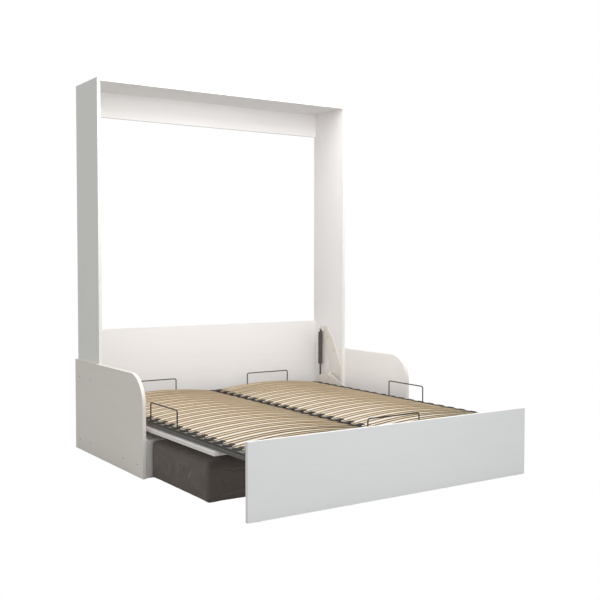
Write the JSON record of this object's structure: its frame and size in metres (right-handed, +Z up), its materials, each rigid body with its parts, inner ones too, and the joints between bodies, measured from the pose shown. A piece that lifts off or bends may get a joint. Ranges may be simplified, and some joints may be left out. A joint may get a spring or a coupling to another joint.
{
  "type": "wall bed",
  "caption": "Vertical wall bed folded down: slatted steel frame hinged in an open cabinet, with armrests, base box, gas struts, levelling foot panel and sliding upholstered seat.",
  "frame": {"origin": "on the floor, centred across the cabinet, in the plane of its front edges", "axes": "+X across the bed to the sitter's left side panel named right, +Y to the wall, +Z up; the bed lies folded down towards -Y"},
  "size_m": [1.808, 2.012, 2.2],
  "materials": {
    "white_board": "white melamine laminate, satin, fine grain",
    "dark_steel": "satin powder coat",
    "grey_steel": "light grey powder coat",
    "bright_steel": "zinc plated",
    "strut_paint": "smooth gloss black",
    "beech_ply": "clear lacquered bent plywood",
    "black_plastic": "moulded, matte",
    "bronze_wire": "dark bronze powder coat",
    "seat_fabric": "woven upholstery"
  },
  "bodies": {
    "cabinet": {"side_panel_left": "white_board", "side_panel_right": "white_board", "top_panel": "white_board", "header_rail": "white_board", "back_panel": "white_board", "armrest_left": "white_board", "armrest_right": "white_board", "armrest_screws": "bright_steel", "base_side_left": "white_board", "base_side_right": "white_board", "base_front": "white_board", "base_rear": "white_board", "base_ribs": "white_board", "base_deck": "white_board", "side_plate_left": "grey_steel", "side_plate_right": "grey_steel", "plate_bolts": "bright_steel"},
    "bed": {"rail_left": "dark_steel", "rail_right": "dark_steel", "head_bar": "dark_steel", "foot_bar": "dark_steel", "centre_beam": "dark_steel", "front_board": "white_board", "board_screws": "bright_steel", "arm_plate_left": "grey_steel", "arm_plate_right": "grey_steel", "arm_bolts": "bright_steel", "slats_a": "beech_ply", "slats_b": "beech_ply", "slats_c": "beech_ply", "slats_d": "beech_ply", "slats_e": "beech_ply", "holders_left": "black_plastic", "holders_right": "black_plastic", "holders_centre": "black_plastic", "stop_left": "bronze_wire", "stop_right": "bronze_wire", "stop_head_left": "bronze_wire", "stop_head_right": "bronze_wire", "stop_foot": "bronze_wire"},
    "leg": {"leg_panel": "white_board", "leg_bracket_left": "grey_steel", "leg_bracket_right": "grey_steel", "leg_screws": "bright_steel", "leg_glides": "black_plastic"},
    "link_left": {"link_left": "dark_steel"},
    "link_right": {"link_right": "dark_steel"},
    "strut_tube_left": {"strut_cylinder_left": "strut_paint"},
    "strut_tube_right": {"strut_cylinder_right": "strut_paint"},
    "strut_piston_left": {"strut_rod_left": "bright_steel"},
    "strut_piston_right": {"strut_rod_right": "bright_steel"},
    "seat": {"seat_block": "seat_fabric", "seat_glides": "black_plastic"}
  },
  "joints": [
    {"name": "bed_fold", "type": "hinge", "parent": "cabinet", "child": "bed", "pos_m": [0, 0.1105, 0.35], "axis": [-1, 0, 0], "range_deg": [0, 90]},
    {"name": "leg_swing", "type": "hinge", "parent": "bed", "child": "leg", "pos_m": [0, -1.632, 0.273], "axis": [-1, 0, 0], "range_deg": [-90, 0]},
    {"name": "link_swing_left", "type": "hinge", "parent": "cabinet", "child": "link_left", "pos_m": [-0.859, 0.1315, 0.369], "axis": [-1, 0, 0], "range_deg": [0, 90]},
    {"name": "link_swing_right", "type": "hinge", "parent": "cabinet", "child": "link_right", "pos_m": [0.859, 0.1315, 0.369], "axis": [-1, 0, 0], "range_deg": [0, 90]},
    {"name": "strut_swing_left", "type": "hinge", "parent": "cabinet", "child": "strut_tube_left", "pos_m": [-0.844, 0.2345, 0.657], "axis": [-1, 0, 0], "range_deg": [0, 18]},
    {"name": "strut_slide_left", "type": "slide", "parent": "strut_tube_left", "child": "strut_piston_left", "axis": [0, 0, -1], "range_m": [0, 0.13027]},
    {"name": "strut_swing_right", "type": "hinge", "parent": "cabinet", "child": "strut_tube_right", "pos_m": [0.844, 0.2345, 0.657], "axis": [-1, 0, 0], "range_deg": [0, 18]},
    {"name": "strut_slide_right", "type": "slide", "parent": "strut_tube_right", "child": "strut_piston_right", "axis": [0, 0, -1], "range_m": [0, 0.13027]},
    {"name": "seat_slide", "type": "slide", "parent": "cabinet", "child": "seat", "axis": [0, -1, 0], "range_m": [0, 0.34]}
  ],
  "couplings": [
    {"joint": "leg_swing", "follows": "bed_fold", "ratio": -1},
    {"joint": "link_swing_left", "follows": "bed_fold", "ratio": 1},
    {"joint": "strut_swing_left", "follows": "bed_fold", "ratio": 0.19995},
    {"joint": "strut_slide_left", "follows": "bed_fold", "m_per_rad": 0.082867},
    {"joint": "link_swing_right", "follows": "bed_fold", "ratio": 1},
    {"joint": "strut_swing_right", "follows": "bed_fold", "ratio": 0.19995},
    {"joint": "strut_slide_right", "follows": "bed_fold", "m_per_rad": 0.082867}
  ]
}
